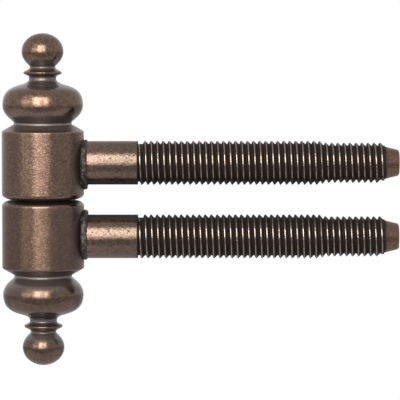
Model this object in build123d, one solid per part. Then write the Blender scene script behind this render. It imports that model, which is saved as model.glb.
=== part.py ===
from build123d import *
import os

# Lift-off screw-in door hinge with turned finials.
#
# The hinge has two leaves. The frame leaf is the lower one and holds the pin. The door leaf is the upper
# one and drops over that pin, with a thin thrust washer between the two knuckles. Each leaf is a turned
# knuckle, a turned finial pressed into its outer end, and a long shank that is butt-welded to its side
# and screws into the frame or the door.
#
# Frame, in millimetres: the origin is on the hinge axis, halfway through the thrust washer. +Z runs up
# the hinge axis and +X runs out along both shanks. Each leaf is drawn as the upper one, with its heights
# counted away from the washer, and the frame leaf is its mirror image.

# Knuckles
knuckle_diameter = 14.0
knuckle_barrel = 11.6  # from the meeting face to the start of the outer cone
meeting_round_width = 1.7  # the meeting edge is rounded wider than it is high
meeting_round_height = 0.9
cone_height = 1.17
neck_diameter = 9.5
neck_land = 0.13  # straight part of the neck between the cone and the finial

# Hinge pin, its bores and the washer that it runs through
pin_diameter = 6.0
pin_reach = 8.6  # how far the pin stands out of the frame knuckle's face
pin_chamfer = 0.6
bore_depth = 9.6
running_clearance = 0.05  # radial, between the pin and what turns on it
bore_mouth_chamfer = 0.4
washer_thickness = 0.2
washer_diameter = 9.2

# Finials, from the neck outwards
spigot_diameter = 4.0
spigot_length = 2.8
spigot_chamfer = 0.3
bulb_inset = 0.12  # how far the bulb's widest ring stays inside the barrel, all round
bulb_rise = 3.27  # from the neck to the bulb's widest ring
bulb_fall = 4.27  # from there to the throat below the bead
throat_diameter = 4.6
bead_diameter = 6.46
bead_rise = 1.06
bead_fall = 1.0
ball_neck_diameter = 4.18
ball_diameter = 6.92
ball_rise = 2.67
ball_end_height = 3.13

# Share of each flank's height that runs on straight from its first and its second end
neck_to_bulb = (0.18, 0.60)
bulb_to_throat = (0.76, 0.32)
throat_to_bead = (0.70, 0.50)
bead_to_neck = (0.30, 0.50)
neck_to_ball = (0.10, 0.60)
roundness = 0.5523  # the share that makes a curve with two level ends follow an ellipse

# Shanks, measured along X from the hinge axis
shank_height = 6.3  # of the shank's axis above the washer's middle
plain_diameter = 7.45
plain_end = 16.1
weld_sink = 0.6  # how far the butt weld has sunk the shank's end into the barrel
relief_diameter = 6.5  # groove that the thread runs out into, beside the plain part
relief_width = 0.52
main_diameter = 7.5  # over the crests of the main thread
main_thread_end = 47.0
lead_taper_length = 1.3
lead_diameter = 6.85
lead_thread_end = 58.2
cone_start_diameter = 5.6
cone_end_diameter = 4.46
cone_length = 2.2
tip_chamfer = 0.35

# Weld collars
collar_width = 0.575  # how far the collar stands out past the shank, on average round it
collar_reach = 0.6  # how far the collar stands out past the side of the barrel
collar_offset = 0.3  # the collar's centre lies this much nearer the washer than the shank's axis
collar_bevel = 0.3

# Sizes that follow from those above
face_height = washer_thickness / 2
shoulder_height = face_height + knuckle_barrel
cone_top = shoulder_height + cone_height
neck_height = cone_top + neck_land
bore_end = face_height + bore_depth
seat_x = knuckle_diameter / 2 - weld_sink
collar_diameter = plain_diameter + 2 * collar_width
collar_end = knuckle_diameter / 2 + collar_reach
collar_height = shank_height - collar_offset
running_diameter = pin_diameter + 2 * running_clearance
bulb_diameter = knuckle_diameter - 2 * bulb_inset


def turned(outline):
    """Solid of revolution about Z of a closed outline, given as edges of (radius, height)."""
    return revolve(Plane.XZ * make_face(outline), Axis.Z)


def ogee(start, end, straightness):
    """S-shaped flank between two rings of (radius, height), running straight up at both of them."""
    rise = end[1] - start[1]
    first = (start[0], start[1] + straightness[0] * rise)
    second = (end[0], end[1] - straightness[1] * rise)
    return Bezier(start, first, second, end)


def dome(rim, height):
    """Near-elliptical quarter from a rim of (radius, height) up to a level crown on the axis."""
    radius, base = rim
    return Bezier(rim, (radius, base + roundness * height), (roundness * radius, base + height), (0, base + height))


def shank_rod(diameter, start, end, height):
    """Round rod along +X from start to end, with its axis at the given height."""
    base = Plane(origin=(start, 0, height), x_dir=(0, 1, 0), z_dir=(1, 0, 0))
    return extrude(base * Circle(diameter / 2), end - start)


def knuckle(bore_diameter):
    """Upper knuckle: rounded meeting edge, barrel, outer cone, blind pin bore, spigot hole and weld seat."""
    outer = knuckle_diameter / 2
    bore = bore_diameter / 2
    spigot = spigot_diameter / 2
    neck = neck_diameter / 2
    face_rim = (outer - meeting_round_width, face_height)
    round_top = (outer, face_height + meeting_round_height)
    round_centre = (face_rim[0], round_top[1])
    rounding = EllipticalCenterArc(round_centre, meeting_round_width, meeting_round_height, 270, arc_size=90)
    upper_side = Polyline(
        round_top,
        (outer, shoulder_height),
        (neck, cone_top),
        (neck, neck_height),
        (spigot, neck_height),
        (spigot, bore_end),
        (bore, bore_end),
        (bore, face_height + bore_mouth_chamfer),
        (bore + bore_mouth_chamfer, face_height),
        face_rim,
    )
    body = turned([rounding, upper_side])
    return body - shank_rod(collar_diameter, seat_x, collar_end, collar_height)


def finial():
    """Upper finial: spigot, onion bulb, thin bead and flattened ball, turned in one piece."""
    neck = (neck_diameter / 2, neck_height)
    bulb = (bulb_diameter / 2, neck[1] + bulb_rise)
    throat = (throat_diameter / 2, bulb[1] + bulb_fall)
    bead = (bead_diameter / 2, throat[1] + bead_rise)
    ball_neck = (ball_neck_diameter / 2, bead[1] + bead_fall)
    ball = (ball_diameter / 2, ball_neck[1] + ball_rise)
    spigot = spigot_diameter / 2
    spigot_end = neck_height - spigot_length
    core = Polyline(
        (0, ball[1] + ball_end_height),
        (0, spigot_end),
        (spigot - spigot_chamfer, spigot_end),
        (spigot, spigot_end + spigot_chamfer),
        (spigot, neck_height),
        neck,
    )
    outline = [
        core,
        ogee(neck, bulb, neck_to_bulb),
        ogee(bulb, throat, bulb_to_throat),
        ogee(throat, bead, throat_to_bead),
        ogee(bead, ball_neck, bead_to_neck),
        ogee(ball_neck, ball, neck_to_ball),
        dome(ball, ball_end_height),
    ]
    return turned(outline)


def shank():
    """Upper shank: plain part, relief groove, main thread, taper, thinner lead thread and blunt cone.

    Both threads are solid up to their crests.
    """
    plain = plain_diameter / 2
    relief = relief_diameter / 2
    main = main_diameter / 2
    lead = lead_diameter / 2
    cone_start = cone_start_diameter / 2
    cone_end = cone_end_diameter / 2
    main_thread_start = plain_end + relief_width
    taper_end = main_thread_end + lead_taper_length
    tip = lead_thread_end + cone_length + tip_chamfer
    outline = Polyline(
        (seat_x, 0),
        (seat_x, plain),
        (plain_end, plain),
        (plain_end, relief),
        (main_thread_start, relief),
        (main_thread_start, main),
        (main_thread_end, main),
        (taper_end, lead),
        (lead_thread_end, lead),
        (lead_thread_end, cone_start),
        (lead_thread_end + cone_length, cone_end),
        (tip, cone_end - tip_chamfer),
        (tip, 0),
        close=True,
    )
    rod = revolve(Plane.XY * make_face(outline), Axis.X)
    return Pos(0, 0, shank_height) * rod


def weld_collar():
    """Upper weld collar: a round bead about the shank's root, seated in the barrel's flat weld seat."""
    ring = shank_rod(collar_diameter, seat_x, collar_end, collar_height)
    rim = ring.edges().filter_by(GeomType.CIRCLE).sort_by(Axis.X)[-1]
    ring = chamfer(rim, collar_bevel)
    return ring - shank_rod(plain_diameter, seat_x, collar_end, shank_height)


def hinge_pin():
    """Pin, pressed to the bottom of the frame knuckle's bore and standing up into the door knuckle's."""
    length = bore_depth + pin_reach
    rod = Pos(0, 0, -bore_end) * Cylinder(pin_diameter / 2, length, align=(Align.CENTER, Align.CENTER, Align.MIN))
    return chamfer(rod.edges().filter_by(GeomType.CIRCLE), pin_chamfer)


def thrust_washer():
    """Thin washer between the knuckles, centred by the pin."""
    disc = Cylinder(washer_diameter / 2, washer_thickness)
    return disc - Cylinder(running_diameter / 2, washer_thickness)


def lowered(part):
    """The same piece on the frame leaf, mirrored in the washer's middle plane."""
    return mirror(part, Plane.XY)


pieces = {
    "upper_knuckle": knuckle(running_diameter),
    "upper_finial": finial(),
    "upper_shank": shank(),
    "upper_weld_collar": weld_collar(),
    "thrust_washer": thrust_washer(),
    "hinge_pin": hinge_pin(),
    "lower_knuckle": lowered(knuckle(pin_diameter)),
    "lower_finial": lowered(finial()),
    "lower_shank": lowered(shank()),
    "lower_weld_collar": lowered(weld_collar()),
}

os.makedirs("parts", exist_ok=True)
for name, solid in pieces.items():
    export_step(solid, f"parts/{name}.step")
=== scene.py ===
"""Looks of a lift-off, screw-in door hinge with turned finials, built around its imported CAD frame.

The origin is on the hinge axis, halfway through the thrust washer. +Z runs up the hinge axis and +X runs
out along both shanks. Sizes in the classes below are in millimetres, and meshes are made in metres.
"""

import logging
import math
from dataclasses import dataclass, field
from enum import Enum

import bmesh
import bpy
from bmesh.types import BMesh
from bpy.types import Material, Mesh, Node, NodeOutputs, NodeSocket, NodeTree, Object
from mathutils import Matrix, Vector, noise


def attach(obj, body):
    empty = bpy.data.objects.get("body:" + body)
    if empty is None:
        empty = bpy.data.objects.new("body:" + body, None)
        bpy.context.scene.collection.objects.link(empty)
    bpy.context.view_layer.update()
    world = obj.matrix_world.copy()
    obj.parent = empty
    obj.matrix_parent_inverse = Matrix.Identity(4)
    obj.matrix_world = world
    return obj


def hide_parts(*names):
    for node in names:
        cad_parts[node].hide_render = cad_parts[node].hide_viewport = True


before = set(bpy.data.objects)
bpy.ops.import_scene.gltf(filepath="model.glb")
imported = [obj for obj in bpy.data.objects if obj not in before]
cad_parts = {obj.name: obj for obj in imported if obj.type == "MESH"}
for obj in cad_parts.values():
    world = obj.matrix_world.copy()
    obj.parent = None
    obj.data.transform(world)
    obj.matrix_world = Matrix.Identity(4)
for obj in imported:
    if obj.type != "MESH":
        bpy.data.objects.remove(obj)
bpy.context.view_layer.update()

log = logging.getLogger("hinge")

MM = 0.001
FULL_TURN = 2 * math.pi
HINGE_AXIS = Vector((0.0, 0.0, 1.0))
SHANK_AXIS = Vector((1.0, 0.0, 0.0))
WELD_DISTANCE = 1e-7
THREAD_HEIGHT = "thread_height"  # attribute: 0 in the roots, CREST_LEVEL on the crests, 1 off the thread
CREST_LEVEL = 0.99
RELIEF_LEVEL = 0.1
ROUNDNESS = 0.5523  # the share that makes a curve with two level ends follow an ellipse
NECK_RADIUS = 4.92
NECK_HEIGHT = 13.0
SPIGOT_RADIUS = 2.0
PLAIN_END = 16.22
THREAD_END = 58.2

Point = tuple[float, float]
Ramp = tuple[float, float]  # the two ends of a range
Texture = tuple[float, float]  # a pattern's size, and its contrast or coarseness
Colour = tuple[float, float, float]
NEUTRAL: Colour = (1.0, 1.0, 0.97)


class Side(Enum):
    """Which leaf a piece belongs to: the value is the sign of its heights."""

    UPPER = 1
    LOWER = -1

    @property
    def prefix(self) -> str:
        """Start of the names of this leaf's nodes."""
        return self.name.lower()

    @property
    def body(self) -> str:
        """The moving body that this leaf's pieces ride on."""
        return "door_leaf" if self is Side.UPPER else "frame_leaf"


# ---------------------------------------------------------------------------------------------------------
# Outlines and meshes
# ---------------------------------------------------------------------------------------------------------


@dataclass(frozen=True)
class Corner:
    """A corner of a straight run, with the radius that it is rounded to."""

    radius: float
    height: float
    rounding: float = 0.0

    @property
    def place(self) -> Vector:
        """The sharp corner's place as a plane vector."""
        return Vector((self.radius, self.height))


@dataclass
class Outline:
    """Half section of a turned piece: one Bezier line of (radius, height), in millimetres."""

    start: Point
    spans: list[tuple[Point, Point, Point]] = field(default_factory=list)

    @property
    def end(self) -> Point:
        """Where the line has got to."""
        return self.spans[-1][2] if self.spans else self.start

    def curve(self, first: Point, second: Point, end: Point) -> "Outline":
        """Adds a Bezier span, given its two handles and its end, and returns the outline."""
        self.spans.append((tuple(first), tuple(second), tuple(end)))
        return self

    def line(self, radius: float, height: float) -> "Outline":
        """Adds a straight span.

        Args:
            radius: Radius at its end.
            height: Height at its end.

        Returns:
            The outline itself.
        """
        start = Vector(self.end)
        end = Vector((radius, height))
        return self.curve(start.lerp(end, 1 / 3), start.lerp(end, 2 / 3), end)

    def run(self, *corners: Corner) -> "Outline":
        """Adds straight spans from corner to corner, with each inner corner rounded.

        Args:
            corners: The corners in order, of which the last is where the run ends.

        Returns:
            The outline itself.
        """
        before = Vector(self.end)
        for corner, after in zip(corners, corners[1:]):
            arrive = (corner.place - before).normalized()
            leave = (after.place - corner.place).normalized()
            turn = arrive.angle(leave)
            before = corner.place
            if corner.rounding <= 0 or turn < 1e-4:
                self.line(*corner.place)
                continue
            setback = corner.rounding * math.tan(turn / 2)
            handle = corner.rounding * math.tan(turn / 4) * 4 / 3
            entry = corner.place - arrive * setback
            exit_ = corner.place + leave * setback
            self.line(*entry)
            self.curve(entry + arrive * handle, exit_ - leave * handle, exit_)
        return self.line(*corners[-1].place)

    def ogee(self, radius: float, height: float, straightness: Point) -> "Outline":
        """Adds an S-shaped flank that runs straight along the axis at both of its ends.

        Args:
            radius: Radius at its end.
            height: Height at its end.
            straightness: Share of its height that it runs on straight from its start and from its end.

        Returns:
            The outline itself.
        """
        start_radius, start_height = self.end
        rise = height - start_height
        first = (start_radius, start_height + straightness[0] * rise)
        second = (radius, height - straightness[1] * rise)
        return self.curve(first, second, (radius, height))

    def draw(self, resolution: int) -> BMesh:
        """Makes the line as loose edges in the XZ plane, in metres.

        Args:
            resolution: How many edges each span gets.

        Returns:
            The edges.
        """
        curve = bpy.data.curves.new("outline", "CURVE")
        curve.dimensions = "3D"
        curve.resolution_u = resolution
        spline = curve.splines.new("BEZIER")
        knots = spline.bezier_points
        knots.add(len(self.spans))
        for knot in knots:
            knot.handle_left_type = knot.handle_right_type = "FREE"
        knots[0].co = knots[0].handle_left = plane_place(self.start)
        for index, (first, second, end) in enumerate(self.spans):
            knots[index].handle_right = plane_place(first)
            knots[index + 1].handle_left = plane_place(second)
            knots[index + 1].co = plane_place(end)
        knots[-1].handle_right = plane_place(self.end)
        holder = bpy.data.objects.new("outline", curve)
        mesh = bpy.data.meshes.new_from_object(holder)
        bpy.data.objects.remove(holder)
        bpy.data.curves.remove(curve)
        wire = bmesh.new()
        wire.from_mesh(mesh)
        bpy.data.meshes.remove(mesh)
        bmesh.ops.remove_doubles(wire, verts=wire.verts[:], dist=WELD_DISTANCE)
        return wire


def plane_place(point: Point) -> Vector:
    """Place in the XZ plane, in metres, of a (radius, height) point in millimetres."""
    return Vector((point[0], 0.0, point[1])) * MM


def clamped(share: float) -> float:
    """The share, held between 0 and 1."""
    return min(max(share, 0.0), 1.0)


def spun(outline: Outline, steps: int, resolution: int) -> BMesh:
    """Spins an outline about Z into a closed shell that faces outwards.

    Args:
        outline: A half section that starts and ends on the axis, or that ends where it starts.
        steps: Steps in the full turn.
        resolution: Edges to each span of the outline.

    Returns:
        The shell.
    """
    shell = outline.draw(resolution)
    bmesh.ops.spin(
        shell,
        geom=shell.verts[:] + shell.edges[:],
        cent=(0, 0, 0),
        axis=HINGE_AXIS,
        dvec=(0, 0, 0),
        angle=FULL_TURN,
        steps=steps,
        use_merge=True,
    )
    return sealed(shell)


def sealed(shell: BMesh) -> BMesh:
    """Merges a shell's seams and poles and turns its faces outwards.

    Args:
        shell: The shell to close.

    Returns:
        The same shell.
    """
    bmesh.ops.remove_doubles(shell, verts=shell.verts[:], dist=WELD_DISTANCE)
    bmesh.ops.dissolve_degenerate(shell, edges=shell.edges[:], dist=WELD_DISTANCE)
    bmesh.ops.recalc_face_normals(shell, faces=shell.faces[:])
    return shell


def laid_along_shank(shell: BMesh, axis_height: float) -> None:
    """Turns a shell that was spun about Z so that it runs along +X.

    Args:
        shell: The shell.
        axis_height: Height of its axis afterwards, in millimetres.
    """
    tilt = Matrix.Rotation(math.pi / 2, 4, "Y")
    lift = Matrix.Translation((0, 0, axis_height * MM))
    bmesh.ops.transform(shell, matrix=lift @ tilt, verts=shell.verts[:])


def lowered(shell: BMesh, side: Side) -> None:
    """Mirrors an upper piece in the washer's middle plane, if it belongs to the lower leaf.

    Args:
        shell: The piece's shell.
        side: The leaf that it belongs to.
    """
    if side is Side.LOWER:
        bmesh.ops.scale(shell, vec=(1, 1, -1), verts=shell.verts[:])
        bmesh.ops.recalc_face_normals(shell, faces=shell.faces[:])


def meshed(shell: BMesh, name: str) -> Mesh:
    """Turns a shell into a mesh.

    Args:
        shell: The shell, which is freed.
        name: The mesh's name.

    Returns:
        The mesh.
    """
    mesh = bpy.data.meshes.new(name)
    shell.to_mesh(mesh)
    shell.free()
    return mesh


def added(name: str, content: bpy.types.ID) -> Object:
    """Adds an object to the scene.

    Args:
        name: Its name.
        content: The mesh, lamp or camera that it shows.

    Returns:
        The object.
    """
    made = bpy.data.objects.new(name, content)
    bpy.context.scene.collection.objects.link(made)
    return made


def install(
    shell: BMesh,
    node: str,
    body: str,
    finishes: list[Material],
    sharp_angle: float = 50.0,
) -> Object:
    """Makes a finished piece of a shell, in place of its CAD node.

    Args:
        shell: The shell, which is freed.
        node: The CAD node that it stands for.
        body: The moving body that it rides on.
        finishes: Its materials in the order of the shell's material indices.
        sharp_angle: Edges that turn by more than this many degrees stay sharp.

    Returns:
        The piece.
    """
    mesh = meshed(shell, f"{node}_look")
    for finish in finishes:
        mesh.materials.append(finish)
    mesh.shade_smooth()
    mesh.set_sharp_from_angle(angle=math.radians(sharp_angle))
    piece = added(f"{node}_look", mesh)
    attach(piece, body)
    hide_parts(node)
    log.info("%s: %d faces on %s", piece.name, len(mesh.polygons), body)
    return piece


# ---------------------------------------------------------------------------------------------------------
# Finishes
# ---------------------------------------------------------------------------------------------------------


class Graph:
    """A shader node tree under construction."""

    def __init__(self, tree: NodeTree) -> None:
        """Starts on an empty tree."""
        self.tree = tree
        tree.nodes.clear()

    def node(self, kind: str, inputs: dict | None = None, **settings: object) -> Node:
        """Adds a node.

        Args:
            kind: Its type, without the word ShaderNode.
            inputs: Values or outputs for its input sockets, by name or number.
            settings: Its other properties.

        Returns:
            The node.
        """
        made = self.tree.nodes.new(f"ShaderNode{kind}")
        for name, value in settings.items():
            setattr(made, name, value)
        for socket, value in (inputs or {}).items():
            self.feed(made.inputs[socket], value)
        return made

    def feed(self, socket: NodeSocket, value: object) -> None:
        """Links an output to a socket, or sets the socket's own value.

        Args:
            socket: The input socket.
            value: An output, or a value, in which a colour may come without its alpha.
        """
        if isinstance(value, NodeSocket):
            self.tree.links.new(value, socket)
        elif socket.type == "RGBA" and len(value) == 3:
            socket.default_value = (*value, 1.0)
        else:
            socket.default_value = value

    def math(self, operation: str, first: object, second: object = 0.0) -> NodeSocket:
        """Result of a Math node on two values."""
        return self.node("Math", {0: first, 1: second}, operation=operation).outputs[0]

    def times(self, first: object, second: object) -> NodeSocket:
        """Product of two values."""
        return self.math("MULTIPLY", first, second)

    def larger(self, first: object, second: object) -> NodeSocket:
        """Larger one of two values."""
        return self.math("MAXIMUM", first, second)

    def apart(self, first: object, second: object) -> NodeSocket:
        """Distance between two values."""
        return self.math("ABSOLUTE", self.math("SUBTRACT", first, second))

    def split(self, vector: NodeSocket) -> NodeOutputs:
        """The X, Y and Z of a vector."""
        return self.node("SeparateXYZ", {0: vector}).outputs

    def length(self, vector: NodeSocket) -> NodeSocket:
        """Length of a vector."""
        return self.node("VectorMath", {0: vector}, operation="LENGTH").outputs["Value"]

    def cloud(
        self, vector: object, scale: object, detail: float, roughness: float = 0.5
    ) -> NodeSocket:
        """Height of a cloudy pattern."""
        inputs = {"Vector": vector, "Scale": scale, "Detail": detail, "Roughness": roughness}
        return self.node("TexNoise", inputs).outputs["Fac"]

    def mix(self, factor: object, first: object, second: object) -> NodeSocket:
        """Colour that goes from first to second with the factor."""
        inputs = {"Factor": factor, 6: first, 7: second}
        return self.node("Mix", inputs, data_type="RGBA").outputs[2]

    def layers(self, base: object, *coats: tuple[object, object]) -> NodeSocket:
        """Colour of a base under layers.

        Args:
            base: The base colour.
            coats: Pairs of a mask and the colour that it lays on, from the base outwards.

        Returns:
            The colour.
        """
        for mask, colour in coats:
            base = self.mix(mask, base, colour)
        return base

    def remap(
        self, value: object, low: float, high: float, to_low: float = 0.0, to_high: float = 1.0
    ) -> NodeSocket:
        """Value clamped between low and high and carried over to another range, smoothly."""
        inputs = {"Value": value, "From Min": low, "From Max": high, "To Min": to_low, "To Max": to_high}
        return self.node("MapRange", inputs, interpolation_type="SMOOTHSTEP").outputs["Result"]


@dataclass(frozen=True)
class Sockets:
    """The named inputs, with their start values, and outputs of an effect."""

    inputs: tuple[tuple[str, object], ...]
    outputs: tuple[str, ...]


class Effect(Enum):
    """The shader node groups that several finishes share."""

    GRAIN = "fine_grain"
    PATINA = "patina"
    TURNING = "turning_marks"
    PITS = "pits"


class EffectLibrary:
    """Builds each shared node group once and places it in materials."""

    SOCKETS = {
        Effect.GRAIN: Sockets((("Vector", None), ("Size", 0.2), ("Coarseness", 0.5)), ("Height", "Fleck")),
        Effect.PATINA: Sockets((("Vector", None), ("Size", 4.0), ("Contrast", 1.0)), ("Mask", "Streak")),
        Effect.TURNING: Sockets((("Along", 0.0), ("Pitch", 0.1)), ("Height",)),
        Effect.PITS: Sockets((("Vector", None), ("Spacing", 0.6), ("Share", 0.2)), ("Mask", "Height")),
    }

    def __init__(self) -> None:
        """Starts with no group built."""
        self.groups: dict[Effect, NodeTree] = {}

    def place(self, graph: Graph, effect: Effect, **inputs: object) -> NodeOutputs:
        """Places an effect in a material.

        Args:
            graph: The material's graph.
            effect: Which effect.
            inputs: Values or outputs for its inputs, by name.

        Returns:
            The outputs of its group node.
        """
        if effect not in self.groups:
            self.groups[effect] = self.build(effect)
        made = graph.node("Group", node_tree=self.groups[effect])
        for name, value in inputs.items():
            graph.feed(made.inputs[name], value)
        return made.outputs

    def build(self, effect: Effect) -> NodeTree:
        """Builds an effect's node group.

        Args:
            effect: Which effect.

        Returns:
            The node group.
        """
        tree = bpy.data.node_groups.new(effect.value, "ShaderNodeTree")
        sockets = self.SOCKETS[effect]
        for name, start in sockets.inputs:
            kind = "NodeSocketVector" if start is None else "NodeSocketFloat"
            socket = tree.interface.new_socket(name=name, in_out="INPUT", socket_type=kind)
            if start is not None:
                socket.default_value = start
        for name in sockets.outputs:
            tree.interface.new_socket(name=name, in_out="OUTPUT", socket_type="NodeSocketFloat")
        graph = Graph(tree)
        entry = tree.nodes.new("NodeGroupInput").outputs
        results = getattr(self, effect.name.lower())(graph, entry)
        leaving = tree.nodes.new("NodeGroupOutput")
        for name, result in results.items():
            graph.feed(leaving.inputs[name], result)
        return tree

    @staticmethod
    def grain(graph: Graph, entry: NodeOutputs) -> dict[str, NodeSocket]:
        """Orange-peel grain of cast and tumbled metal, with single bright flecks.

        Args:
            graph: The group's graph.
            entry: The group's inputs.

        Returns:
            The group's outputs by name.
        """
        fine = graph.math("DIVIDE", 0.6, entry["Size"])
        broad = graph.math("DIVIDE", 0.22, entry["Size"])
        rest = graph.math("SUBTRACT", 1.0, entry["Coarseness"])
        peel = graph.times(graph.cloud(entry["Vector"], fine, 1.5), rest)
        swell = graph.times(graph.cloud(entry["Vector"], broad, 1.0), entry["Coarseness"])
        cells = graph.node("TexVoronoi", {"Vector": entry["Vector"], "Scale": fine})
        shade = graph.node("SeparateColor", {0: cells.outputs["Color"]}).outputs[0]
        return {"Height": graph.math("ADD", peel, swell), "Fleck": graph.remap(shade, 0.0, 1.0)}

    @staticmethod
    def patina(graph: Graph, entry: NodeOutputs) -> dict[str, NodeSocket]:
        """Cloudy tone of a chemically browned surface.

        Args:
            graph: The group's graph.
            entry: The group's inputs.

        Returns:
            The group's outputs by name.
        """
        scale = graph.math("DIVIDE", 1.0, entry["Size"])
        cloud = graph.cloud(entry["Vector"], scale, 4.0, roughness=0.62)
        centred = graph.times(graph.math("SUBTRACT", cloud, 0.5), entry["Contrast"])
        mask = graph.remap(graph.math("ADD", centred, 0.5), 0.25, 0.75)
        streak = graph.cloud(entry["Vector"], graph.times(scale, 4.0), 3.0)
        return {"Mask": mask, "Streak": graph.remap(streak, 0.35, 0.68)}

    @staticmethod
    def turning(graph: Graph, entry: NodeOutputs) -> dict[str, NodeSocket]:
        """Fine rings that a turning tool leaves, as a height along the axis.

        Args:
            graph: The group's graph.
            entry: The group's inputs.

        Returns:
            The group's outputs by name.
        """
        along = graph.math("DIVIDE", entry["Along"], entry["Pitch"])
        inputs = {"W": along, "Scale": 1.0, "Detail": 2.0, "Roughness": 0.7}
        rings = graph.node("TexNoise", inputs, noise_dimensions="1D")
        return {"Height": rings.outputs["Fac"]}

    @staticmethod
    def pits(graph: Graph, entry: NodeOutputs) -> dict[str, NodeSocket]:
        """Scattered small pits, each at a random cell of a grid.

        Args:
            graph: The group's graph.
            entry: The group's inputs.

        Returns:
            The group's outputs by name.
        """
        scale = graph.math("DIVIDE", 1.0, entry["Spacing"])
        wobble = graph.node("TexNoise", {"Vector": entry["Vector"], "Scale": 6.0, "Detail": 1.0})
        shift = graph.node("VectorMath", {0: wobble.outputs["Color"], "Scale": 0.12}, operation="SCALE")
        place = graph.node("VectorMath", {0: entry["Vector"], 1: shift.outputs[0]}, operation="ADD")
        cells = graph.node("TexVoronoi", {"Vector": place.outputs[0], "Scale": scale})
        draws = graph.node("SeparateColor", {0: cells.outputs["Color"]}).outputs
        chosen = graph.math("LESS_THAN", draws[1], entry["Share"])
        reach = graph.remap(draws[2], 0.0, 1.0, 0.16, 0.42)
        near = graph.math("SUBTRACT", 1.0, graph.math("DIVIDE", cells.outputs["Distance"], reach))
        mask = graph.times(graph.remap(near, 0.0, 0.6), chosen)
        return {"Mask": mask, "Height": graph.math("SUBTRACT", 1.0, mask)}


effects = EffectLibrary()


def fresh_material(name: str) -> Material:
    """Makes a material with a node tree.

    Args:
        name: Its name.

    Returns:
        The material.
    """
    material = bpy.data.materials.new(name)
    material.use_nodes = True
    return material


class Surface(Graph):
    """A metal surface under construction, laid out in the piece's own coordinates in millimetres."""

    def __init__(self, name: str) -> None:
        """Makes the material and its coordinates.

        Args:
            name: The material's name.
        """
        self.material = fresh_material(name)
        super().__init__(self.material.node_tree)
        own = self.node("TexCoord").outputs["Object"]
        scaled = self.node("Mapping", {"Vector": own, "Scale": (1 / MM, 1 / MM, 1 / MM)})
        self.place = scaled.outputs["Vector"]
        self.x, self.y, self.z = self.split(self.place)

    def patina(self, size: float, contrast: float) -> NodeOutputs:
        """Places the patina."""
        return effects.place(self, Effect.PATINA, Vector=self.place, Size=size, Contrast=contrast)

    def grain(self, size: float, coarseness: float) -> NodeOutputs:
        """Places the grain."""
        return effects.place(self, Effect.GRAIN, Vector=self.place, Size=size, Coarseness=coarseness)

    def rings(self, along: NodeSocket, pitch: float) -> NodeSocket:
        """Height of turning marks along a coordinate."""
        return effects.place(self, Effect.TURNING, Along=along, Pitch=pitch)["Height"]

    def finished(self, inputs: dict, heights: list[tuple[object, float]]) -> Material:
        """Adds the surface shader, with a chain of bumps, and the output.

        Args:
            inputs: Inputs of the Principled shader.
            heights: Pairs of a height and how high it stands, in millimetres.

        Returns:
            The material.
        """
        shader = self.node("BsdfPrincipled", inputs)
        end = shader.inputs["Normal"]
        for height, depth in reversed(heights):
            bump = self.node("Bump", {"Height": height, "Strength": 1.0, "Distance": depth * MM})
            self.feed(end, bump.outputs["Normal"])
            end = bump.inputs["Normal"]
        self.node("OutputMaterial", {"Surface": shader.outputs[0]})
        return self.material


@dataclass(frozen=True)
class Finish:
    """What every finish has: the name of its material, which its build method makes."""

    name: str


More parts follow.
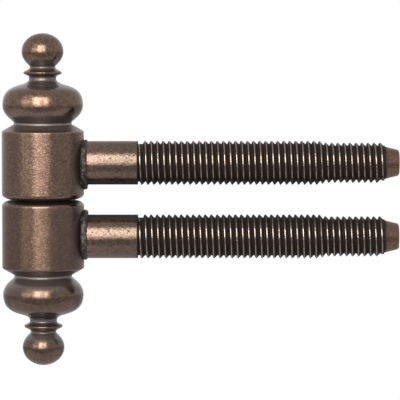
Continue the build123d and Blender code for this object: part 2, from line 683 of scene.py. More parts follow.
@dataclass(frozen=True)
class AntiqueBronze(Finish):
    """Browned, lightly lacquered plating of the knuckles and finials."""

    brown: Colour = (0.132, 0.086, 0.067)
    umber: Colour = (0.088, 0.061, 0.052)
    copper: Colour = (0.27, 0.175, 0.122)
    dust: Colour = (0.115, 0.097, 0.096)
    # light grey of bare worn metal, which also serves as a painted highlight line along the neck seam
    bare_and_highlight: Colour = (0.27, 0.255, 0.25)
    burnt: Colour = (0.075, 0.05, 0.047)
    # painted shade: near-black colour for the dark reflection in the gap between the knuckles
    gap_shade: Colour = (0.008, 0.006, 0.006)
    patina: Texture = (1.6, 1.0)
    grain: Texture = (0.1, 0.25)
    grain_height: float = 0.036
    ring_pitch: float = 0.12
    ring_height: float = 0.0015
    fleck_share: Ramp = (0.2, 0.6)
    gloss: Ramp = (0.15, 0.24)
    recesses: tuple[Point, ...] = ((12.9, 1.55), (0.1, 0.6))
    recess_core: float = 0.3
    recess_roughness: float = 0.42
    recess_metal: float = 0.7
    dust_share: float = 0.7
    lacquer: float = 0.1
    lacquer_blur: float = 0.15
    edge_tint: Colour = (0.95, 0.92, 0.92)
    # painted shade: pieces below the washer are darkened towards umber, as if less lamp light reached them
    lower_shade_ramp: Ramp = (-2.0, 2.0)
    lower_browning: float = 0.4
    seam_height: float = 12.99
    seam_reach: Ramp = (0.06, 0.16)
    seam_wear_and_highlight: float = 0.9
    weld_height: float = 6.0
    scorch_reach: Ramp = (4.4, 5.5)
    scorch_side: Ramp = (4.2, 5.8)
    scorch_share: float = 0.6
    # heights, front limit and strength of the painted gap shade
    gap_shade_heights: Ramp = (-0.62, -0.42)
    gap_shade_front: Ramp = (-4.9, -4.2)
    gap_shade_share: float = 0.8

    def recess(self, graph: Surface, height: NodeSocket) -> NodeSocket:
        """Where dust lies in the recesses round the hinge axis.

        Args:
            graph: The surface.
            height: Distance from the washer's middle plane in millimetres.

        Returns:
            A mask that is 1 in the recesses.
        """
        mask: object = 0.0
        for middle, reach in self.recesses:
            distance = graph.apart(height, middle)
            mask = graph.larger(mask, graph.remap(distance, self.recess_core * reach, reach, 1.0, 0.0))
        return mask

    def scorch(self, graph: Surface, height: NodeSocket) -> NodeSocket:
        """Where the butt weld's heat has dulled the barrel.

        Args:
            graph: The surface.
            height: Distance from the washer's middle plane in millimetres.

        Returns:
            A mask that is 1 beside the weld.
        """
        rise = graph.math("SUBTRACT", height, self.weld_height)
        flat = graph.node("CombineXYZ", {"X": 0.0, "Y": graph.y, "Z": rise}).outputs[0]
        near = graph.remap(graph.length(flat), *self.scorch_reach, 1.0, 0.0)
        return graph.times(near, graph.remap(graph.x, *self.scorch_side))

    def painted_gap_shade(self, graph: Surface) -> NodeSocket:
        """Where painted shade darkens the front of the lower meeting edge, standing in for the dark
        reflection in the gap between the knuckles.

        Args:
            graph: The surface.

        Returns:
            A mask that is highest in the painted shade.
        """
        mask = graph.remap(graph.z, *self.gap_shade_heights, 0.0, self.gap_shade_share)
        mask = graph.times(mask, graph.math("LESS_THAN", graph.z, 0.0))
        return graph.times(mask, graph.remap(graph.x, *self.gap_shade_front))

    def build(self) -> Material:
        """Builds the material.

        Returns:
            The material.
        """
        graph = Surface(self.name)
        height = graph.math("ABSOLUTE", graph.z)
        patina = graph.patina(*self.patina)
        grain = graph.grain(*self.grain)
        recess = self.recess(graph, height)
        scorch = self.scorch(graph, height)
        flecks = graph.times(grain["Fleck"], graph.remap(patina["Streak"], 0.0, 1.0, *self.fleck_share))
        seam = graph.apart(height, self.seam_height)
        tone = graph.layers(
            self.umber,
            (patina["Mask"], self.brown),
            (flecks, self.copper),
            # painted shade: darker towards the bottom, on the lower leaf
            (graph.remap(graph.z, *self.lower_shade_ramp, self.lower_browning, 0.0), self.umber),
            (graph.times(recess, self.dust_share), self.dust),
            # worn metal and painted highlight: a light line round the seam between knuckle and finial
            (graph.remap(seam, *self.seam_reach, self.seam_wear_and_highlight, 0.0), self.bare_and_highlight),
            (graph.times(scorch, self.scorch_share), self.burnt),
            # painted shade: dark band on the front of the lower meeting edge, in the gap
            (self.painted_gap_shade(graph), self.gap_shade),
        )
        worn = graph.larger(recess, scorch)
        gloss = graph.remap(patina["Streak"], 0.0, 1.0, *self.gloss)
        dull = graph.times(worn, graph.math("SUBTRACT", self.recess_roughness, gloss))
        inputs = {
            "Base Color": tone,
            "Metallic": graph.remap(worn, 0.0, 1.0, 1.0, self.recess_metal),
            "Roughness": graph.math("ADD", gloss, dull),
            "Specular Tint": self.edge_tint,
            "Coat Weight": self.lacquer,
            "Coat Roughness": self.lacquer_blur,
        }
        rings = graph.rings(graph.z, self.ring_pitch)
        return graph.finished(inputs, [(rings, self.ring_height), (grain["Height"], self.grain_height)])


@dataclass(frozen=True)
class ShankBronze(Finish):
    """Plated shank: bright and pitted where it is plain, dirty and painted dark as shade in the grooves,
    worn on the crests, and painted dark as shade where the two shanks face each other.
    """

    brown: Colour = (0.08, 0.051, 0.043)
    gold: Colour = (0.12, 0.088, 0.067)
    heat_tint: Colour = (0.17, 0.1, 0.094)
    # near-black of dirt, also painted shade in the thread grooves; the pits use it too
    soot_and_shade: Colour = (0.015, 0.011, 0.0095)
    # painted shade: near-black colour for the shank sides that face each other across the gap
    gap_side_shade: Colour = (0.014, 0.0125, 0.0115)
    worn: Colour = (0.19, 0.172, 0.158)
    pink: Colour = (0.215, 0.168, 0.15)
    tip_tint: Colour = (0.135, 0.068, 0.052)
    patina: Texture = (2.4, 1.6)
    patina_share: float = 0.5
    grain: Texture = (0.16, 0.5)
    grain_height: float = 0.07
    pit_spacing: float = 0.5
    pit_share: float = 0.35
    pit_dirt: float = 0.6
    pit_depth: float = 0.05
    gloss: Ramp = (0.14, 0.26)
    edge_tint: Colour = (0.7, 0.7, 0.72)
    dirt_gloss: float = 0.18
    dirt_metal: float = 0.35
    dirt_roughness: float = 0.5
    lacquer: float = 0.2
    lacquer_blur: float = 0.12
    heated_over: Ramp = (7.6, 13.6)
    heat_share: float = 0.75
    tip_over: Ramp = (THREAD_END + 0.2, THREAD_END + 1.7)
    tip_share: float = 0.85
    tip_patches: float = 0.45
    rubbed_crests: Ramp = (0.94, 0.985)
    threaded_below: float = 0.999
    dirty_and_shaded_flanks: Ramp = (0.82, 0.98)
    flank_dirt_and_shade: float = 0.94
    cone_foot: Ramp = (THREAD_END, THREAD_END + 0.6)
    relief_edge: Ramp = (PLAIN_END - 0.35, PLAIN_END)
    relief_dirt_and_shade: float = 0.75
    # heights from the shank axis over which the painted gap-side shade fades out
    gap_side_shade_heights: Ramp = (2.6, 3.95)

    def dirt_and_shade(self, graph: Surface, crest: NodeSocket) -> NodeSocket:
        """Where dirt and painted shade sit: in the threads, at the foot of the end cone and beside the
        relief groove.

        Args:
            graph: The surface.
            crest: How high the thread stands, as the THREAD_HEIGHT attribute has it.

        Returns:
            A mask that is highest in the dirt and painted shade.
        """
        flanks = graph.remap(crest, *self.dirty_and_shaded_flanks, self.flank_dirt_and_shade, 0.0)
        foot = graph.remap(graph.x, *self.cone_foot, 1.0, 0.0)
        foot = graph.times(graph.math("GREATER_THAN", graph.x, THREAD_END), foot)
        edge = graph.remap(graph.x, *self.relief_edge, 0.0, self.relief_dirt_and_shade)
        edge = graph.times(edge, graph.math("LESS_THAN", graph.x, PLAIN_END))
        return graph.larger(graph.larger(flanks, foot), edge)

    def build(self) -> Material:
        """Builds the material.

        Returns:
            The material.
        """
        graph = Surface(self.name)
        crest = graph.node("Attribute", attribute_name=THREAD_HEIGHT).outputs["Fac"]
        patina = graph.patina(*self.patina)
        streak = patina["Streak"]
        grain = graph.grain(*self.grain)
        pits = effects.place(
            graph, Effect.PITS, Vector=graph.place, Spacing=self.pit_spacing, Share=self.pit_share
        )
        heat = graph.remap(graph.x, *self.heated_over, self.heat_share, 0.0)
        tip = graph.remap(graph.x, *self.tip_over, 0.0, self.tip_share)
        threaded = graph.math("LESS_THAN", crest, self.threaded_below)
        dirt_and_shade = self.dirt_and_shade(graph, crest)
        height = graph.math("ABSOLUTE", graph.z)
        # painted shade on the sides of the shanks that face each other, made dull and rough too
        facing_shade = graph.remap(height, *self.gap_side_shade_heights, 1.0, 0.0)
        tone = graph.layers(
            self.brown,
            (grain["Fleck"], self.gold),
            (graph.times(patina["Mask"], self.patina_share), self.gold),
            (graph.times(heat, streak), self.heat_tint),
            (graph.times(tip, graph.remap(streak, 0.0, 1.0, self.tip_patches, 1.0)), self.tip_tint),
            (
                graph.times(graph.remap(crest, *self.rubbed_crests), threaded),
                graph.mix(streak, self.worn, self.pink),
            ),
            # dirt and painted shade in the grooves, at the cone's foot and at the relief edge
            (dirt_and_shade, self.soot_and_shade),
            (graph.times(pits["Mask"], self.pit_dirt), self.soot_and_shade),
            (facing_shade, self.gap_side_shade),
        )
        dull = graph.larger(dirt_and_shade, facing_shade)
        gloss = graph.remap(streak, 0.0, 1.0, *self.gloss)
        inputs = {
            "Base Color": tone,
            "Metallic": graph.remap(dull, 0.0, 1.0, 1.0, self.dirt_metal),
            "Specular IOR Level": self.dirt_gloss,
            "Specular Tint": self.edge_tint,
            "Roughness": graph.math("ADD", gloss, graph.times(dull, self.dirt_roughness)),
            "Coat Weight": graph.remap(dull, 0.0, 0.5, self.lacquer, 0.0),
            "Coat Roughness": self.lacquer_blur,
        }
        heights = [(grain["Height"], self.grain_height), (pits["Height"], self.pit_depth)]
        return graph.finished(inputs, heights)


@dataclass(frozen=True)
class WeldScale(Finish):
    """Burnt, near-black scale on a weld bead, with a few bright chips."""

    scale: Colour = (0.004, 0.0045, 0.004)
    slag: Colour = (0.036, 0.036, 0.031)
    chip: Colour = (0.22, 0.2, 0.19)
    patina: Texture = (0.9, 2.2)
    grain: Texture = (0.26, 0.6)
    grain_height: float = 0.12
    chipped: Ramp = (0.88, 1.0)
    scale_metal: float = 0.35
    roughness: Ramp = (0.45, 0.7)

    def build(self) -> Material:
        """Builds the material.

        Returns:
            The material.
        """
        graph = Surface(self.name)
        patina = graph.patina(*self.patina)
        chips = graph.remap(patina["Streak"], *self.chipped)
        inputs = {
            "Base Color": graph.layers(self.scale, (patina["Mask"], self.slag), (chips, self.chip)),
            "Metallic": graph.remap(chips, 0.0, 1.0, self.scale_metal, 1.0),
            "Roughness": graph.remap(patina["Streak"], 0.0, 1.0, *self.roughness),
        }
        return graph.finished(inputs, [(graph.grain(*self.grain)["Height"], self.grain_height)])


@dataclass(frozen=True)
class GroundSteel(Finish):
    """Ground steel with fine rings across its axis."""

    steel: Colour = (0.5, 0.49, 0.48)
    oil_stain: Colour = (0.2, 0.17, 0.14)
    ring_pitch: float = 0.05
    ring_height: float = 0.002
    ring_lines: Ramp = (0.3, 0.7)
    ring_share: float = 0.25
    patina: Texture = (3.5, 1.6)
    stain_share: float = 0.45
    roughness: Ramp = (0.22, 0.38)

    def build(self) -> Material:
        """Builds the material.

        Returns:
            The material.
        """
        graph = Surface(self.name)
        rings = graph.rings(graph.z, self.ring_pitch)
        patina = graph.patina(*self.patina)
        stain = graph.times(patina["Mask"], self.stain_share)
        ringed = graph.times(graph.remap(rings, *self.ring_lines), self.ring_share)
        inputs = {
            "Base Color": graph.mix(graph.larger(stain, ringed), self.steel, self.oil_stain),
            "Metallic": 1.0,
            "Roughness": graph.remap(patina["Streak"], 0.0, 1.0, *self.roughness),
        }
        return graph.finished(inputs, [(rings, self.ring_height)])


@dataclass(frozen=True)
class WasherBrass(Finish):
    """Rolled brass, rubbed in rings where the knuckles turn on it."""

    brass: Colour = (0.56, 0.38, 0.14)
    tarnish: Colour = (0.24, 0.15, 0.06)
    old_grease: Colour = (0.05, 0.045, 0.042)
    patina: Texture = (2.5, 1.4)
    rim: Ramp = (4.35, 4.55)
    rim_gloss: float = 0.1
    rim_metal: float = 0.2
    ring_pitch: float = 0.09
    ring_height: float = 0.003
    ring_lines: Ramp = (0.3, 0.7)
    roughness: Ramp = (0.22, 0.42)

    def build(self) -> Material:
        """Builds the material.

        Returns:
            The material.
        """
        graph = Surface(self.name)
        flat = graph.node("VectorMath", {0: graph.place, 1: (1.0, 1.0, 0.0)}, operation="MULTIPLY")
        radius = graph.length(flat.outputs[0])
        rings = graph.rings(radius, self.ring_pitch)
        rim = graph.remap(radius, *self.rim)
        mask = graph.patina(*self.patina)["Mask"]
        roughness = graph.remap(rings, *self.ring_lines, *self.roughness)
        inputs = {
            "Base Color": graph.layers(self.brass, (mask, self.tarnish), (rim, self.old_grease)),
            "Metallic": graph.remap(rim, 0.0, 1.0, 1.0, self.rim_metal),
            "Roughness": graph.larger(roughness, rim),
            "Specular IOR Level": self.rim_gloss,
        }
        return graph.finished(inputs, [(rings, self.ring_height)])


@dataclass
class Finishes:
    """The hinge's finishes, each built once."""

    knuckle: Material
    finial: Material
    shank: Material
    weld: Material
    pin: Material
    bore: Material
    washer: Material

    @classmethod
    def build(cls) -> "Finishes":
        """Builds every finish.

        Returns:
            The set.
        """
        return cls(
            knuckle=AntiqueBronze("knuckle_bronze").build(),
            finial=AntiqueBronze(
                "finial_bronze",
                brown=(0.085, 0.046, 0.029),
                umber=(0.052, 0.029, 0.022),
                copper=(0.26, 0.15, 0.09),
                dust=(0.105, 0.09, 0.094),
                grain_height=0.013,
                gloss=(0.18, 0.26),
                recesses=((12.9, 2.8), (20.2, 1.9), (22.9, 1.4)),
                lacquer=0.7,
                lacquer_blur=0.18,
                edge_tint=(0.55, 0.53, 0.53),
            ).build(),
            shank=ShankBronze("shank_bronze").build(),
            weld=WeldScale("weld_scale").build(),
            pin=GroundSteel("pin_steel").build(),
            bore=GroundSteel(
                "bore_steel",
                steel=(0.2, 0.18, 0.165),
                oil_stain=(0.04, 0.035, 0.03),
                ring_pitch=0.16,
                ring_height=0.006,
            ).build(),
            washer=WasherBrass("washer_brass").build(),
        )


# ---------------------------------------------------------------------------------------------------------
# The leaves
# ---------------------------------------------------------------------------------------------------------


@dataclass
class Knuckle:
    """Turned barrel with a rounded meeting edge, an outer cone, a blind pin bore and a spigot hole."""

    side: Side
    bore_radius: float
    barrel_radius: float = 7.0
    face_height: float = 0.1
    meeting_round_width: float = 1.7
    meeting_round_height: float = 0.9
    shoulder_height: float = 11.7
    cone_top: float = 12.87
    neck_height: float = NECK_HEIGHT
    neck_radius: float = NECK_RADIUS
    cone_edge_round: float = 0.32
    edge_support: float = 0.06
    neck_cove: float = 0.2
    neck_edge_round: float = 0.03
    spigot_radius: float = SPIGOT_RADIUS
    bore_end: float = 9.7
    mouth_chamfer: float = 0.4
    steps: int = 128

    def outline(self) -> Outline:
        """Half section, from the bore's mouth out over the barrel and back down the bore.

        Returns:
            The closed outline.
        """
        face_rim = self.barrel_radius - self.meeting_round_width
        round_top = self.face_height + self.meeting_round_height
        bore = self.bore_radius
        section = Outline((bore + self.mouth_chamfer, self.face_height))
        section.line(face_rim, self.face_height)
        section.curve(
            (face_rim + ROUNDNESS * self.meeting_round_width, self.face_height),
            (self.barrel_radius, round_top - ROUNDNESS * self.meeting_round_height),
            (self.barrel_radius, round_top),
        )
        section.line(self.barrel_radius, round_top + self.edge_support)
        section.run(
            Corner(self.barrel_radius, self.shoulder_height - self.cone_edge_round),
            Corner(self.barrel_radius, self.shoulder_height, self.cone_edge_round),
            Corner(self.neck_radius, self.cone_top, self.neck_cove),
            Corner(self.neck_radius, self.neck_height, self.neck_edge_round),
            Corner(self.spigot_radius, self.neck_height),
            Corner(self.spigot_radius, self.bore_end),
            Corner(bore, self.bore_end),
            Corner(bore, self.face_height + self.mouth_chamfer),
            Corner(bore + self.mouth_chamfer, self.face_height),
        )
        return section

    def build(self, finishes: Finishes) -> Object:
        """Builds and dresses the knuckle.

        Args:
            finishes: The hinge's finishes.

        Returns:
            The piece.
        """
        shell = spun(self.outline(), self.steps, 8)
        inside = (self.bore_radius + 0.5 * self.mouth_chamfer) * MM
        for facet in shell.faces:
            centre = facet.calc_center_median()
            facet.material_index = int(math.hypot(centre.x, centre.y) < inside)
        lowered(shell, self.side)
        node = f"{self.side.prefix}_knuckle"
        dressing = [finishes.knuckle, finishes.bore]
        return install(shell, node, self.side.body, dressing, 40)


@dataclass
class Finial:
    """Turned finial: spigot, onion bulb, thin bead and flattened ball."""

    side: Side
    neck_height: float = NECK_HEIGHT
    neck_radius: float = NECK_RADIUS
    spigot_radius: float = SPIGOT_RADIUS
    spigot_length: float = 2.8
    bulb: Point = (6.88, 16.27)
    throat: Point = (2.3, 20.72)
    bead: Point = (3.28, 21.68)
    ball_neck: Point = (2.16, 22.68)
    ball: Point = (3.57, 25.28)
    crown_height: float = 28.4
    neck_to_bulb: Point = (0.16, 0.64)
    bulb_to_throat: Point = (0.9, 0.38)
    throat_to_bead: Point = (0.7, 0.5)
    bead_to_neck: Point = (0.3, 0.5)
    neck_to_ball: Point = (0.1, 0.6)
    joint_gap: float = 0.02
    joint_land: float = 0.08
    joint_round: float = 0.04
    spigot_round: float = 0.2
    steps: int = 128

    def outline(self) -> Outline:
        """Half section, from the spigot's end out over the flanks to the crown.

        Returns:
            The outline, which starts and ends on the axis.
        """
        spigot_end = self.neck_height - self.spigot_length
        joint = self.neck_height + self.joint_gap
        section = Outline((0.0, spigot_end))
        section.run(
            Corner(self.spigot_radius, spigot_end, self.spigot_round),
            Corner(self.spigot_radius, joint),
            Corner(self.neck_radius, joint, self.joint_round),
            Corner(self.neck_radius, joint + self.joint_land),
        )
        section.ogee(*self.bulb, self.neck_to_bulb)
        section.ogee(*self.throat, self.bulb_to_throat)
        section.ogee(*self.bead, self.throat_to_bead)
        section.ogee(*self.ball_neck, self.bead_to_neck)
        section.ogee(*self.ball, self.neck_to_ball)
        rise = self.crown_height - self.ball[1]
        section.curve(
            (self.ball[0], self.ball[1] + ROUNDNESS * rise),
            (ROUNDNESS * self.ball[0], self.crown_height),
            (0.0, self.crown_height),
        )
        return section

    def build(self, finishes: Finishes) -> Object:
        """Builds and dresses the finial.

        Args:
            finishes: The hinge's finishes.

        Returns:
            The piece.
        """
        shell = spun(self.outline(), self.steps, 16)
        lowered(shell, self.side)
        node = f"{self.side.prefix}_finial"
        return install(shell, node, self.side.body, [finishes.finial], 60)


@dataclass
class Shank:
    """Long shank: plain part, relief groove, main thread, taper, thinner lead thread and blunt cone."""

    side: Side
    axis_height: float = 6.3
    root_x: float = 6.6
    plain_radius: float = 3.725
    plain_end: float = PLAIN_END
    plain_round: float = 0.1
    relief_radius: float = 3.1
    relief_round: float = 0.05
    thread_start: float = 16.25
    pitch: float = 1.028
    crest_at: float = 16.62
    crest_radius: float = 3.75
    groove_depth: float = 0.52
    crest_width: float = 0.15
    root_width: float = 0.12
    steep_width: float = 0.24
    tooth_rounds: tuple[float, float, float, float] = (0.03, 0.05, 0.06, 0.05)
    main_end: float = 47.0
    taper_end: float = 48.3
    lead_radius: float = 3.425
    thread_end: float = THREAD_END
    fade: float = 0.7
    run_in_start: float = 16.42
    run_in: float = 0.14
    cone_radius: float = 2.8
    cone_start_round: float = 0.3
    cone_end_round: float = 0.1
    cone_end: float = 60.52
    tip_radius: float = 2.23
    tip_end: float = 60.75
    tip_round: float = 0.23
    overlap: float = 0.1
    cone_overlap: float = 0.6
    steps: int = 72

    def plain_shell(self) -> BMesh:
        """Plain part and the bottom of the relief groove, spun about Z and still standing on it.

        Returns:
            The shell.
        """
        section = Outline((0.0, self.root_x))
        section.run(
            Corner(self.plain_radius, self.root_x),
            Corner(self.plain_radius, self.plain_end, self.plain_round),
            Corner(self.relief_radius, self.plain_end, self.relief_round),
            Corner(self.relief_radius, self.thread_start + self.overlap),
            Corner(0.0, self.thread_start + self.overlap),
        )
        return spun(section, self.steps, 6)

    def tip_shell(self) -> BMesh:
        """Blunt cone past the thread, spun about Z and still standing on it.

        Returns:
            The shell.
        """
        section = Outline((0.0, self.thread_end - self.cone_overlap))
        section.run(
            Corner(self.cone_radius, self.thread_end - self.cone_overlap),
            Corner(self.cone_radius, self.thread_end, self.cone_start_round),
            Corner(self.tip_radius, self.cone_end, self.cone_end_round),
            Corner(self.tip_radius - self.tip_round, self.tip_end, self.cone_end_round),
            Corner(0.0, self.tip_end),
        )
        return spun(section, self.steps, 6)

    def tooth(self, start: float) -> list[Corner]:
        """One pitch of the thread's profile, from the front of its crest to the next one.

        Args:
            start: Where the crest starts.

        Returns:
            The corners.
        """
        root = self.crest_radius - self.groove_depth
        crest_end = start + self.crest_width
        steep_start = start + self.pitch - self.steep_width
        root_start = steep_start - self.root_width
        radii = (self.crest_radius, self.crest_radius, root, root)
        heights = (start, crest_end, root_start, steep_start)
        return [Corner(*corner) for corner in zip(radii, heights, self.tooth_rounds)]

    def thread_shell(self) -> BMesh:
        """Helical thread along X: a profile of every tooth, spun one turn while it moves on one pitch.

        Returns:
            The shell, closed at both ends.
        """
        first = self.crest_at - self.crest_width / 2 - 3 * self.pitch
        turns = math.ceil((self.thread_end - first) / self.pitch) + 3
        corners = [corner for turn in range(turns) for corner in self.tooth(first + turn * self.pitch)]
        section = Outline((corners[0].radius, corners[0].height))
        section.run(*corners[1:])
        shell = section.draw(2)
        to_front = Matrix(((0, 0, 1, 0), (-1, 0, 0, 0), (0, 1, 0, 0), (0, 0, 0, 1)))
        bmesh.ops.transform(shell, matrix=to_front, verts=shell.verts[:])
        bmesh.ops.spin(
            shell,
            geom=shell.verts[:] + shell.edges[:],
            cent=(0, 0, 0),
            axis=SHANK_AXIS,
            dvec=SHANK_AXIS * (self.pitch * MM / self.steps),
            angle=FULL_TURN,
            steps=self.steps,
            use_merge=False,
        )
        bmesh.ops.remove_doubles(shell, verts=shell.verts[:], dist=WELD_DISTANCE)
        for end, way in ((self.thread_start, -1), (self.thread_end + 0.05, 1)):
            bmesh.ops.bisect_plane(
                shell,
                geom=shell.verts[:] + shell.edges[:] + shell.faces[:],
                dist=WELD_DISTANCE,
                plane_co=(end * MM, 0, 0),
                plane_no=(way, 0, 0),
                clear_outer=True,
            )
        self.shape_thread(shell)
        rims = [edge for edge in shell.edges if edge.is_boundary]
        bmesh.ops.holes_fill(shell, edges=rims, sides=0)
        bmesh.ops.triangulate(shell, faces=[facet for facet in shell.faces if len(facet.verts) > 4])
        return shell

    def crest_radius_at(self, along: float) -> float:
        """Radius over the crests at a distance along the shank."""
        share = clamped((along - self.main_end) / (self.taper_end - self.main_end))
        return self.crest_radius + (self.lead_radius - self.crest_radius) * share

    def tooth_share_at(self, along: float, turned: float) -> float:
        """How much of the full tooth stands at a place on the thread, by where its own crest runs.

        Args:
            along: Distance along the shank.
            turned: Share of a full turn from the front, in the thread's sense.

        Returns:
            A share from 0 to 1, which is less than 1 where the thread runs in and out.
        """
        turns = math.floor((along - self.crest_at + self.steep_width) / self.pitch - turned)
        crest = self.crest_at + (turns + turned) * self.pitch
        run_in = clamped((crest - self.run_in_start) / self.run_in)
        return run_in * clamped((self.thread_end - crest) / self.fade)

    def shape_thread(self, shell: BMesh) -> None:
        """Draws the thread's radii in along the taper and where it runs in and out.

        Args:
            shell: The thread at its full, constant radii.
        """
        layer = shell.verts.layers.float.new(THREAD_HEIGHT)
        root = self.crest_radius - self.groove_depth
        for vert in shell.verts:
            radius = math.hypot(vert.co.y, vert.co.z) / MM
            along = vert.co.x / MM
            share = clamped((radius - root) / self.groove_depth)
            crest = self.crest_radius_at(along)
            turned = math.atan2(-vert.co.z, -vert.co.y) / FULL_TURN
            stand = self.groove_depth * share * self.tooth_share_at(along, turned)
            scale = (crest - self.groove_depth + stand) / radius
            vert.co.y *= scale
            vert.co.z *= scale
            vert[layer] = share * CREST_LEVEL

    def build(self, finishes: Finishes) -> Object:
        """Builds and dresses the shank.

        Args:
            finishes: The hinge's finishes.

        Returns:
            The piece.
        """
        shell = self.thread_shell()
        layer = shell.verts.layers.float[THREAD_HEIGHT]
        for turned in (self.plain_shell(), self.tip_shell()):
            laid_along_shank(turned, 0.0)
            loose = meshed(turned, "turned")
            known = set(shell.verts)
            shell.from_mesh(loose)
            bpy.data.meshes.remove(loose)
            for vert in shell.verts:
                if vert not in known:
                    radius = math.hypot(vert.co.y, vert.co.z) / MM
                    grooved = self.plain_end - 0.02 < vert.co.x / MM < self.thread_start + 0.2
                    vert[layer] = RELIEF_LEVEL if grooved and radius < self.plain_radius - 0.15 else 1.0
        lift = Vector((0.0, 0.0, self.side.value * self.axis_height * MM))
        bmesh.ops.translate(shell, vec=lift, verts=shell.verts[:])
        bmesh.ops.recalc_face_normals(shell, faces=shell.faces[:])
        node = f"{self.side.prefix}_shank"
        return install(shell, node, self.side.body, [finishes.shank], 40)


@dataclass
class WeldCollar:
    """Lumpy ring of scale that the butt weld has pushed out round the shank's root."""

    side: Side
    axis_height: float = 6.0
    back_x: float = 6.5
    seat_x: float = 6.6
    front_x: float = 7.6
    inner_radius: float = 3.3
    outer_radius: float = 4.24
    back_round: float = 0.45
    front_round: float = 0.38
    lump_height: float = 0.17
    lump_size: float = 0.45
    fine_lump_height: float = 0.5  # as a share of the large lumps'
    fine_lump_size: float = 0.4
    steps: int = 120

    def build(self, finishes: Finishes) -> Object:
        """Builds and dresses the collar.

        Args:
            finishes: The hinge's finishes.

        Returns:
            The piece.
        """
        section = Outline((0.0, self.back_x))
        section.run(
            Corner(self.outer_radius, self.back_x, self.back_round),
            Corner(self.outer_radius, self.front_x, self.front_round),
            Corner(self.inner_radius, self.front_x),
            Corner(self.inner_radius, self.seat_x),
            Corner(0.0, self.seat_x),
        )
        shell = spun(section, self.steps, 6)
        laid_along_shank(shell, self.axis_height)
        lowered(shell, self.side)
        shell.normal_update()
        centre_height = self.side.value * self.axis_height
        for vert in shell.verts:
            place = vert.co / MM
            radius = math.hypot(place.y, place.z - centre_height)
            if place.x > self.back_x + 0.02 and radius < self.inner_radius + 0.1:
                continue
            lump = noise.noise(place / self.lump_size)
            fine = noise.noise(place / (self.fine_lump_size * self.lump_size))
            lump += self.fine_lump_height * fine
            vert.co += vert.normal * (lump * self.lump_height * MM)
        bmesh.ops.recalc_face_normals(shell, faces=shell.faces[:])
        node = f"{self.side.prefix}_weld_collar"
        return install(shell, node, self.side.body, [finishes.weld], 60)


@dataclass
class HingePin:
    """Ground pin, pressed into the frame knuckle: chamfered ends, with a centre mark in the upper one."""

    radius: float = 3.0
    low_end: float = -9.7
    high_end: float = 8.5
    chamfer: float = 0.6
    centre_radius: float = 0.7
    centre_depth: float = 0.6
    low_rounds: tuple[float, float] = (0.1, 0.2)
    high_rounds: tuple[float, float] = (0.3, 0.2)
    centre_round: float = 0.05
    steps: int = 96

    def build(self, finishes: Finishes) -> Object:
        """Builds and dresses the pin.

        Args:
            finishes: The hinge's finishes.

        Returns:
            The piece.
        """
        section = Outline((0.0, self.low_end))
        section.run(
            Corner(self.radius - self.chamfer, self.low_end, self.low_rounds[0]),
            Corner(self.radius, self.low_end + self.chamfer, self.low_rounds[1]),
            Corner(self.radius, self.high_end - self.chamfer, self.high_rounds[0]),
            Corner(self.radius - self.chamfer, self.high_end, self.high_rounds[1]),
            Corner(self.centre_radius, self.high_end, self.centre_round),
            Corner(0.0, self.high_end - self.centre_depth),
        )
        shell = spun(section, self.steps, 6)
        return install(shell, "hinge_pin", "frame_leaf", [finishes.pin])


@dataclass
class ThrustWasher:
    """Thin washer with its edges broken."""

    bore_radius: float = 3.05
    radius: float = 4.6
    thickness: float = 0.2
    edge_round: float = 0.06
    steps: int = 128

    def build(self, finishes: Finishes) -> Object:
        """Builds and dresses the washer.

        Args:
            finishes: The hinge's finishes.

        Returns:
            The piece.
        """
        half = self.thickness / 2
        section = Outline((self.bore_radius, 0.0))
        section.run(
            Corner(self.bore_radius, half, self.edge_round),
            Corner(self.radius, half, self.edge_round),
            Corner(self.radius, -half, self.edge_round),
            Corner(self.bore_radius, -half, self.edge_round),
            Corner(self.bore_radius, 0.0),
        )
        shell = spun(section, self.steps, 4)
        return install(shell, "thrust_washer", "washer", [finishes.washer])


@dataclass
class Leaf:
    """One leaf of the hinge: knuckle, finial, weld collar and shank."""

    side: Side
    bore_radius: float

    def build(self, finishes: Finishes) -> list[Object]:
        """Builds the leaf's pieces.

        Args:
            finishes: The hinge's finishes.

        Returns:
            The pieces.
        """
        knuckle = Knuckle(self.side, self.bore_radius)
        parts = (knuckle, Finial(self.side), WeldCollar(self.side), Shank(self.side))
        return [part.build(finishes) for part in parts]


# ---------------------------------------------------------------------------------------------------------
# Studio
# ---------------------------------------------------------------------------------------------------------


@dataclass(frozen=True)
class SoftLamp:
    """Large soft lamp that shines at the hinge: its direction and size as seen from there, in degrees."""

    name: str
    azimuth: float
    elevation: float
    width: float
    height: float
    radiance: float
    distance: float = 1.2
    colour: Colour = (1.0, 0.93, 0.77)

    def hang(self) -> None:
        """Makes the lamp and turns it to the hinge."""
        lamp = bpy.data.lights.new(self.name, "AREA")
        lamp.shape = "RECTANGLE"
        lamp.size = 2 * self.distance * math.tan(math.radians(self.width / 2))
        lamp.size_y = 2 * self.distance * math.tan(math.radians(self.height / 2))
        lamp.color = self.colour
        lamp.energy = self.radiance * math.pi * lamp.size * lamp.size_y
        holder = added(self.name, lamp)
        turn = math.radians(self.azimuth)
        rise = math.radians(self.elevation)
        level = math.cos(rise)
        direction = Vector((math.sin(turn) * level, -math.cos(turn) * level, math.sin(rise)))
        holder.location = direction * self.distance
        holder.rotation_euler = (-direction).to_track_quat("-Z", "Y").to_euler()


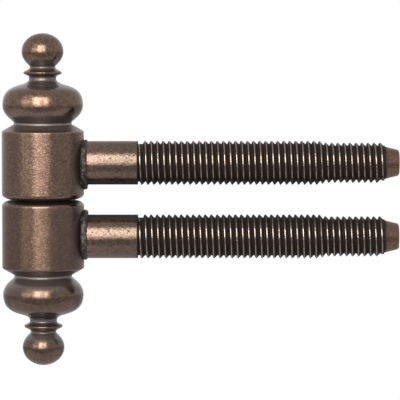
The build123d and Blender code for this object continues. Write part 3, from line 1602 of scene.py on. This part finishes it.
@dataclass
class Studio:
    """Camera, floor, world and lamps."""

    distance: float = 0.5
    elevation: float = 4.0
    target: tuple[float, float, float] = (0.0268, 0.0, -0.00007)
    frame_width: float = 0.0683
    sensor: float = 36.0
    floor_depth: float = 0.2
    floor_size: tuple[float, float] = (1.4, 0.42)
    diffuse_level: float = 0.1
    shown_floor: float = 0.88
    seen_floor: float = 0.8
    below_floor: float = 0.62
    horizon: Ramp = (-0.06, 0.0)
    floor_grey: Colour = (0.3, 0.3, 0.3)
    lamps: tuple[SoftLamp, ...] = (
        SoftLamp("key", azimuth=-3.0, elevation=22.0, width=44.0, height=53.0, radiance=2.75),
        SoftLamp("key_core", azimuth=-12.5, elevation=22.0, width=20.0, height=53.0, radiance=2.0),
        SoftLamp("glint_left", -14.5, 24.0, width=18.0, height=34.0, radiance=6.6, colour=NEUTRAL),
        SoftLamp("glint_right", 10.5, 24.0, width=10.0, height=34.0, radiance=6.6, colour=NEUTRAL),
        SoftLamp("fill_spot", azimuth=-42.0, elevation=15.0, width=36.0, height=18.0, radiance=1.9),
        SoftLamp("fill", azimuth=-47.0, elevation=23.0, width=28.0, height=60.0, radiance=0.85),
    )

    def camera(self) -> None:
        """Places the camera in front of the hinge and a little above it."""
        lens = bpy.data.cameras.new("camera")
        lens.sensor_width = self.sensor
        lens.lens = self.sensor * self.distance / self.frame_width
        lens.clip_start = 0.01
        lens.clip_end = 100.0
        camera = added("camera", lens)
        rise = math.radians(self.elevation)
        towards = Vector((0.0, math.cos(rise), -math.sin(rise)))
        camera.location = Vector(self.target) - towards * self.distance
        camera.rotation_euler = towards.to_track_quat("-Z", "Y").to_euler()
        bpy.context.scene.camera = camera

    def world(self) -> None:
        """Lights the hinge evenly, on white surroundings."""
        world = bpy.data.worlds.new("studio")
        world.use_nodes = True
        graph = Graph(world.node_tree)
        path = graph.node("LightPath").outputs
        mirrored = graph.larger(path["Is Glossy Ray"], path["Is Transmission Ray"])
        height = graph.split(graph.node("TexCoord").outputs["Generated"])["Z"]
        room = graph.remap(height, *self.horizon, self.below_floor, 1.0)
        seen = graph.larger(path["Is Camera Ray"], graph.times(mirrored, room))
        strength = graph.larger(seen, self.diffuse_level)
        light = graph.node("Background", {"Color": (1.0, 1.0, 1.0), "Strength": strength})
        graph.node("OutputWorld", {"Surface": light.outputs[0]})
        bpy.context.scene.world = world

    def floor(self) -> None:
        """Lays a plain pale floor well below the hinge."""
        shell = bmesh.new()
        bmesh.ops.create_grid(shell, x_segments=1, y_segments=1, size=0.5)
        bmesh.ops.scale(shell, vec=(*self.floor_size, 1.0), verts=shell.verts[:])
        bmesh.ops.translate(shell, vec=(0, 0, -self.floor_depth), verts=shell.verts[:])
        mesh = meshed(shell, "floor")
        material = fresh_material("pale_floor")
        graph = Graph(material.node_tree)
        plain = graph.node("BsdfDiffuse", {"Color": self.floor_grey})
        path = graph.node("LightPath").outputs
        mirrored = graph.larger(path["Is Glossy Ray"], path["Is Transmission Ray"])
        shown = graph.times(path["Is Camera Ray"], self.shown_floor)
        strength = graph.larger(shown, graph.times(mirrored, self.seen_floor))
        glow = graph.node("Emission", {"Color": (1.0, 1.0, 1.0), "Strength": strength})
        both = graph.node("AddShader", {0: plain.outputs[0], 1: glow.outputs[0]})
        graph.node("OutputMaterial", {"Surface": both.outputs[0]})
        mesh.materials.append(material)
        floor = added("floor", mesh)

    def build(self) -> None:
        """Builds the studio."""
        self.camera()
        self.world()
        self.floor()
        for lamp in self.lamps:
            lamp.hang()
        bpy.context.scene.view_settings.view_transform = "Standard"


def main() -> None:
    """Builds the studio and every piece of the hinge."""
    logging.basicConfig(level=logging.INFO, format="%(message)s")
    Studio().build()
    finishes = Finishes.build()
    pieces = Leaf(Side.LOWER, bore_radius=3.0).build(finishes)
    pieces += [HingePin().build(finishes), ThrustWasher().build(finishes)]
    pieces += Leaf(Side.UPPER, bore_radius=3.05).build(finishes)
    log.info("%d pieces in all", len(pieces))


if __name__ == "__main__":
    main()
